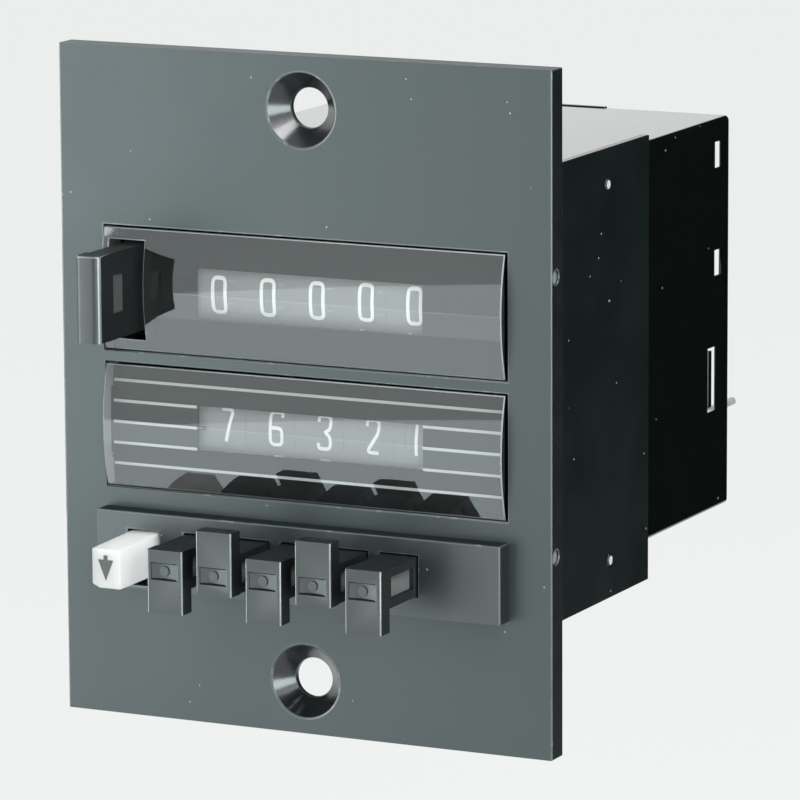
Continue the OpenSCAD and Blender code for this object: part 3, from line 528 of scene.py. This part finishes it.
# Keys: satin black mouldings that slide through the key block, with hollowed faces and pocketed stems.
# The reset key is a deeper blade beside the count window.
key_shift, paddle_from, paddle_edge = 0.5 * mm, -13 * mm, 3 * mm
pocket_in, pocket_shift = 0.95 * mm, 0.7 * mm
dish_z, dish_half, dish_wall, dish_slack = -18.2 * mm, 0.975 * mm, 0.14 * mm, 0.02 * mm
dish_front, dish_rim, dish_back = -13.69 * mm, -13.66 * mm, -13.2 * mm
blade_front, blade_foot = -11.9 * mm, 12 * mm
grip_x, grip_y, grip_half, grip_shift = -20.1 * mm, -8.2 * mm, 1.0 * mm, 0.2 * mm
key_black = finish("key_black", (0.01, 0.0125, 0.0125), 0.34, shade=0.12, patch=3, grain=0.1, depth=0.002,
                   specular_ior_level=0.46)
# Key tops, dish walls and the reset key's right side take a darker, duller copy of the key black: painted shade.
key_shade = finish("key_shade", (0.008, 0.01, 0.01), 0.5, shade=0.12, patch=3, grain=0.1, specular_ior_level=0.15)
# Key edges and the reset key's right-front rounding are painted pale grey: painted highlight.
key_highlight_edge = finish("key_highlight_edge", (0.15, 0.16, 0.16), 0.25, shade=0.3, patch=1, specular_ior_level=1.0,
                  coat_weight=0.4, coat_roughness=0.1)
# The dish floors are painted paler than the key black: painted light.
key_dish_light = finish("key_dish_light", (0.035, 0.041, 0.043), 0.4, shade=0.2, patch=0.6, grain=0.1)
# The stem pockets' floors are painted pale grey: painted light.
pocket_lit_grey = finish("pocket_lit_grey", (0.14, 0.15, 0.15), 0.5, shade=0.25, patch=1, grain=0.1)
# The reset key's side grip is painted paler: painted light.
key_grip_lit = finish("key_grip_lit", (0.05, 0.055, 0.055), 0.55, shade=0.3, patch=0.6, grain=0.1)
for k in range(1, 6):
    moulding = softened(f"preset_key_moulding_{k}", f"preset_key_{k}", 0.16,
                        [key_black, key_highlight_edge, pocket_lit_grey, key_shade, key_dish_light], edge_finish=1,
                        chosen=lambda a, b: abs(a.z - b.z) > paddle_edge and max(a.y, b.y) < paddle_from)
    pocket_x = (k - 3) * wheel_step + key_shift + pocket_in
    for face in moulding.data.polygons:
        middle = face.center
        if face.normal.x > 0.9 and abs(middle.x - pocket_x) < near:
            face.material_index = 2
            for n in face.vertices:
                moulding.data.vertices[n].co.x += pocket_shift
        # Tops and dish walls take the painted shade, and dish floors take the painted light.
        elif face.normal.z > 0.9:
            face.material_index = 3
        elif dish_front < middle.y < dish_back and abs(middle.z - dish_z) < dish_half + dish_slack:
            face.material_index = 4 if face.normal.y < -0.5 else 3
    for v in moulding.data.vertices:
        over = v.co.z - dish_z
        if dish_rim < v.co.y < dish_back and abs(abs(over) - dish_half) < dish_slack:
            v.co.z -= math.copysign(dish_wall, over)
reset_key = softened("reset_key_moulding", "reset_key", 0.16, [key_black, key_highlight_edge, key_grip_lit, key_shade], edge_finish=1,
                     chosen=lambda a, b: max(a.y, b.y) < blade_front and min(a.z, b.z) > blade_foot)
for face in reset_key.data.polygons:
    middle = face.center
    if face.normal.x > 0.9 and abs(middle.x - grip_x) < near and abs(middle.y - grip_y) < grip_half:
        face.material_index = 2
        for n in face.vertices:
            reset_key.data.vertices[n].co.x += grip_shift
    # Faces turned to the right front take the pale edge finish: a painted highlight strip.
    elif face.normal.x > 0.72 and -0.7 < face.normal.y < -0.1:
        face.material_index = 1
    # The reset key's right side is painted darker: painted shade.
    elif face.normal.x > 0.9:
        face.material_index = 3

# Unlock key: a white moulding at the left of the key block, which is pushed down to free the preset keys.
# It slides in its slot, and a dark arrow is printed on its face.
low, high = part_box("unlock_key")
arrow_x, arrow_z = low.x + 2.52 * mm, -18.45 * mm
arrow_front, arrow_back = low.y - 0.015 * mm, low.y + 0.03 * mm
arrow_outline = [(-0.25, 1.45), (0.25, 1.45), (0.25, 0.95), (0.95, 0.95), (0.0, -1.4), (-0.95, 0.95), (-0.25, 0.95)]
white_plastic = finish("white_plastic", (0.93, 0.94, 0.935), 0.38, shade=0.02, patch=4, grain=0.12, depth=0.002,
                       subsurface_weight=1.0, subsurface_radius=(1, 1, 1), subsurface_scale=0.008,
                       specular_ior_level=0.2)
softened("unlock_key_moulding", "unlock_key", 0.18, [white_plastic])
work = bmesh.new()
front, back = [[work.verts.new((arrow_x + x * mm, y, arrow_z + z * mm)) for x, z in arrow_outline]
               for y in (arrow_front, arrow_back)]
work.faces.new(front)
work.faces.new(back[::-1])
for n in range(len(arrow_outline)):
    work.faces.new((front[n - 1], back[n - 1], back[n], front[n]))
bmesh.ops.recalc_face_normals(work, faces=work.faces)
set_in_place("unlock_arrow", work, "unlock_key", "white_key",
             finish("arrow_grey", (0.04, 0.043, 0.043), 0.5, shade=0.3, patch=0.5))

# Lenses: clear acrylic bars with a bulged, polished front, held behind the plate by their end tabs.
# Their left sawn ends and broken edges are frosted.
lens_end, lens_front = 23.5 * mm, -2.4 * mm
lens_back_from, lens_back = -0.01 * mm, -0.12 * mm


def acrylic(name, polished):
    """Clear plastic that bends what is seen through it and lets all other light straight in."""
    material = bpy.data.materials.new(name)
    material.use_nodes = True
    tree = material.node_tree
    tree.nodes.remove(tree.nodes["Principled BSDF"])
    bent = tree.nodes.new("ShaderNodeBsdfRefraction")
    bent.inputs["Color"].default_value = (0.97, 0.98, 0.975, 1)
    bent.inputs["IOR"].default_value = 1.49
    bent.inputs["Roughness"].default_value = 0.0
    surface = bent.outputs[0]
    if polished:
        mirror = tree.nodes.new("ShaderNodeBsdfGlossy")
        mirror.inputs["Roughness"].default_value = 0.03
        edge_on = tree.nodes.new("ShaderNodeFresnel")
        edge_on.inputs["IOR"].default_value = 1.75
        polish = tree.nodes.new("ShaderNodeMixShader")
        tree.links.new(edge_on.outputs["Fac"], polish.inputs[0])
        tree.links.new(surface, polish.inputs[1])
        tree.links.new(mirror.outputs[0], polish.inputs[2])
        surface = polish.outputs[0]
    rays = tree.nodes.new("ShaderNodeLightPath")
    lighting = tree.nodes.new("ShaderNodeMath")
    lighting.operation = "MAXIMUM"
    straight = tree.nodes.new("ShaderNodeBsdfTransparent")
    open_to_light = tree.nodes.new("ShaderNodeMixShader")
    tree.links.new(rays.outputs["Is Shadow Ray"], lighting.inputs[0])
    tree.links.new(rays.outputs["Is Diffuse Ray"], lighting.inputs[1])
    tree.links.new(lighting.outputs[0], open_to_light.inputs[0])
    tree.links.new(surface, open_to_light.inputs[1])
    tree.links.new(straight.outputs[0], open_to_light.inputs[2])
    tree.links.new(open_to_light.outputs[0], tree.nodes["Material Output"].inputs["Surface"])
    return material


clear = acrylic("clear_acrylic", True)
bonded = acrylic("bonded_acrylic", False)
broken_edge = finish("broken_edge", (0.3, 0.315, 0.315), 0.5, shade=0.2, patch=0.8)
for node, sawn in (("count_lens", 0.07), ("preset_lens", 0.2)):
    frosted = finish(node + "_end", (sawn, sawn * 1.05, sawn * 1.05), 0.5, shade=0.15, patch=0.8)
    lens = softened(node + "_bar", node, 0.13, [clear, broken_edge, bonded, frosted], edge_finish=1, steps=2,
                    chosen=lambda a, b: max(a.y, b.y) < lens_front)
    for v in lens.data.vertices:
        if v.co.y > lens_back_from:
            v.co.y = lens_back
    for face in lens.data.polygons:
        if face.normal.x < -0.9 and face.center.x < -lens_end:
            face.material_index = 3
        elif face.normal.y > 0.9:
            face.material_index = 2

# Side cheeks: black painted sheet steel, screwed behind the plate and pinned to the case.
# The pins are bright steel, driven through both walls.
cheek_paint = finish("cheek_paint", (0.004, 0.008, 0.008), 0.45, shade=0.2, patch=9, grain=0.15, depth=0.004,
                     specular_ior_level=0.2)
dusted(cheek_paint, (0.25, 0.27, 0.27), 2.6, 0.13, 0.7)
cheek_edge = finish("cheek_edge", (0.006, 0.008, 0.008), 0.9, shade=0.3, patch=1, specular_ior_level=0.05)
cheek_top = finish("cheek_top", (0.006, 0.008, 0.008), 0.12, shade=0.3, patch=1, specular_ior_level=1.0)
for side in ("left", "right"):
    sheet = softened(f"cheek_sheet_{side}", f"cheek_{side}", 0.18,
                     [cheek_paint, cheek_edge, cheek_top], edge_finish=1)
    for face in sheet.data.polygons:
        if face.normal.z > 0.9:
            face.material_index = 2
bright = finish("bright_steel", (0.62, 0.64, 0.65), 0.5, shade=0.12, patch=0.5, metallic=0.2)
# The pins' rounded edges are painted dark: painted shade where each pin meets its hole.
pin_shade_ring = finish("pin_shade_ring", (0.012, 0.014, 0.014), 0.4, shade=0.2, patch=0.5)
softened("cheek_pin_set", "cheek_pins", 0.16, [bright, pin_shade_ring], edge_finish=1)

# Case hood, bottom cover and rear cover: glossy black mouldings; the cover latches into the hood's slots.
# Tinned terminal pins stand out of the rear cover.
case_gloss = finish("case_gloss", (0.003, 0.0045, 0.004), 0.14, shade=0.2, patch=8, grain=0.2, depth=0.001)
dusted(case_gloss, (0.25, 0.27, 0.27), 2.8, 0.14, 0.5)
roof_gloss = finish("roof_gloss", (0.0045, 0.0065, 0.0055), 0.14, shade=0.2, patch=8, grain=0.2, depth=0.001,
                    specular_ior_level=0.6, coat_weight=0.95, coat_roughness=0.08)
hood = softened("hood_moulding", "case_hood", 0.2, [case_gloss, roof_gloss])
for face in hood.data.polygons:
    if face.normal.z > 0.9:
        face.material_index = 1
softened("rear_cover_moulding", "rear_cover", 0.12, [case_gloss])
softened("bottom_cover_moulding", "bottom_cover", 0.1, [case_gloss])
tinned = finish("tinned_brass", (0.68, 0.67, 0.63), 0.4, shade=0.1, patch=1, metallic=0.6)
softened("terminal_pin_row", "terminal_pins", 0.15, [tinned])

# Studio: a pale floor well below the part, which hangs as it does in a panel, and a pale surround.
# The floor and the surround show white to the camera and in reflections.
# Soft boxes light the part, and cards are seen only in its gloss.
surround = (0.905, 0.92, 0.91)
floor_z, floor_half = -0.11, 6
card_z = floor_z + 0.003
table_turn = math.radians(-27)


def seen_directly(tree):
    """An output that is 1 for what the camera sees, straight or in gloss or through a clear piece."""
    rays = tree.nodes.new("ShaderNodeLightPath")
    first = tree.nodes.new("ShaderNodeMath")
    first.operation = "MAXIMUM"
    second = tree.nodes.new("ShaderNodeMath")
    second.operation = "MAXIMUM"
    tree.links.new(rays.outputs["Is Camera Ray"], first.inputs[0])
    tree.links.new(rays.outputs["Is Glossy Ray"], first.inputs[1])
    tree.links.new(first.outputs[0], second.inputs[0])
    tree.links.new(rays.outputs["Is Transmission Ray"], second.inputs[1])
    return second.outputs[0]


world = bpy.data.worlds.new("studio")
bpy.context.scene.world = world
world.use_nodes = True
tree = world.node_tree
sky = tree.nodes["Background"]
sky.inputs["Color"].default_value = (*surround, 1)
sky.inputs["Strength"].default_value = 1
fill = tree.nodes.new("ShaderNodeBackground")
fill.inputs["Color"].default_value = (0.97, 1, 1, 1)
fill.inputs["Strength"].default_value = 0.5
choice = tree.nodes.new("ShaderNodeMixShader")
tree.links.new(seen_directly(tree), choice.inputs[0])
tree.links.new(fill.outputs[0], choice.inputs[1])
tree.links.new(sky.outputs[0], choice.inputs[2])
tree.links.new(choice.outputs[0], tree.nodes["World Output"].inputs["Surface"])

mesh = bpy.data.meshes.new("floor")
mesh.from_pydata([(x * floor_half, y * floor_half, floor_z) for x, y in ((-1, -1), (1, -1), (1, 1), (-1, 1))],
                 [], [(0, 1, 2, 3)])
floor = bpy.data.objects.new("floor", mesh)
bpy.context.scene.collection.objects.link(floor)
pale = bpy.data.materials.new("pale_floor")
pale.use_nodes = True
tree = pale.node_tree
shader = tree.nodes["Principled BSDF"]
shader.inputs["Base Color"].default_value = (0.8, 0.82, 0.8, 1)
shader.inputs["Roughness"].default_value = 0.9
glow = tree.nodes.new("ShaderNodeEmission")
glow.inputs["Color"].default_value = (*surround, 1)
mostly = tree.nodes.new("ShaderNodeMath")
mostly.operation = "MULTIPLY"
mostly.inputs[1].default_value = 0.85
blend = tree.nodes.new("ShaderNodeMixShader")
tree.links.new(seen_directly(tree), mostly.inputs[0])
tree.links.new(mostly.outputs[0], blend.inputs[0])
tree.links.new(shader.outputs[0], blend.inputs[1])
tree.links.new(glow.outputs[0], blend.inputs[2])
tree.links.new(blend.outputs[0], tree.nodes["Material Output"].inputs["Surface"])
mesh.materials.append(pale)


def lamp(name, place, wide, high, radiance, card=False):
    """A soft box aimed at the part, whose face shines with the given radiance. A card is only seen in gloss."""
    data = bpy.data.lights.new(name, "AREA")
    data.shape = "RECTANGLE"
    data.size = wide
    data.size_y = high
    data.energy = radiance * math.pi * wide * high
    soft_box = bpy.data.objects.new(name, data)
    bpy.context.scene.collection.objects.link(soft_box)
    soft_box.location = place
    soft_box.rotation_euler = (-Vector(place)).to_track_quat("-Z", "Y").to_euler()
    soft_box.visible_camera = False
    if card:
        soft_box.visible_diffuse = False
        data.color = (0.86, 1, 1.01)
    return soft_box


for name, along, length, radiance in (("near_card", 0.2, 0.2, 2.3), ("table_card", 0.515, 0.43, 3.0)):
    place = Matrix.Rotation(table_turn, 3, "Z") @ Vector((-0.145, -along, card_z))
    table = lamp(name, place, 0.41, length, radiance, card=True)
    table.rotation_euler = (math.pi, 0, table_turn)
dish = lamp("dish_card", (0.1, -0.47, card_z), 0.14, 0.3, 7.0, card=True)
dish.rotation_euler = (math.pi, 0, math.radians(12))
slope = lamp("slope_card", (-0.122, -0.731, 0.064), 0.35, 0.5, 1.65, card=True)
across, upward = Vector((0.833, -0.43, -0.349)), Vector((0.335, -0.109, 0.936))
slope.rotation_euler = Matrix((across, upward, across.cross(upward))).transposed().to_euler()
lamp("front_card", (-0.4, -0.6, 0.08), 0.36, 0.4, 1.0, card=True)
lamp("left_card", (-0.2, -0.14, 0.02), 0.18, 0.18, 6.0, card=True)
lamp("edge_card", (0.5, -0.28, -0.03), 0.7, 0.3, 8.0, card=True)
lamp("right_panel", (0.5, -0.42, 0.35), 0.3, 0.3, 6.0)
lamp("top_panel", (0.3, -0.12, 0.5), 0.3, 0.3, 10.0)
mesh = bpy.data.meshes.new("dark_card")
mesh.from_pydata([(-0.25, 0, -0.14), (0.18, 0, -0.14), (0.18, 0, 0.2), (-0.25, 0, 0.2)], [], [(0, 1, 2, 3)])
mesh.transform(Matrix.Translation((0.17, 0.2, 0.03)) @ Matrix.Rotation(math.radians(-34), 4, "Z"))
card = bpy.data.objects.new("dark_card", mesh)
bpy.context.scene.collection.objects.link(card)
mesh.materials.append(finish("card_black", (0.002, 0.002, 0.002), 0.9, specular_ior_level=0.0))
for way in ("visible_camera", "visible_diffuse", "visible_shadow", "visible_transmission"):
    setattr(card, way, False)

# Camera: a long lens at the photograph's place, to the right of the front and a little above it.
# Its direction, lean and distance were fitted to the plate's corners, the bolt holes and the case.
turn, tilt, lean = math.radians(26.03), math.radians(10.65), math.radians(-0.31)
aim, distance = Vector((11.73, -2.8, 0.74)) * mm, 630.5 * mm
back = Vector((math.sin(turn) * math.cos(tilt), -math.cos(turn) * math.cos(tilt), math.sin(tilt)))
right = Vector((math.cos(turn), math.sin(turn), 0))
up = back.cross(right)
right, up = right * math.cos(lean) + up * math.sin(lean), up * math.cos(lean) - right * math.sin(lean)
data = bpy.data.cameras.new("camera")
data.sensor_width = 36
data.lens = 263.025
data.clip_end = 20
camera = bpy.data.objects.new("camera", data)
bpy.context.scene.collection.objects.link(camera)
pose = Matrix((right, up, back)).transposed().to_4x4()
pose.translation = aim + back * distance
camera.matrix_world = pose
bpy.context.scene.camera = camera
bpy.context.scene.view_settings.view_transform = "Standard"
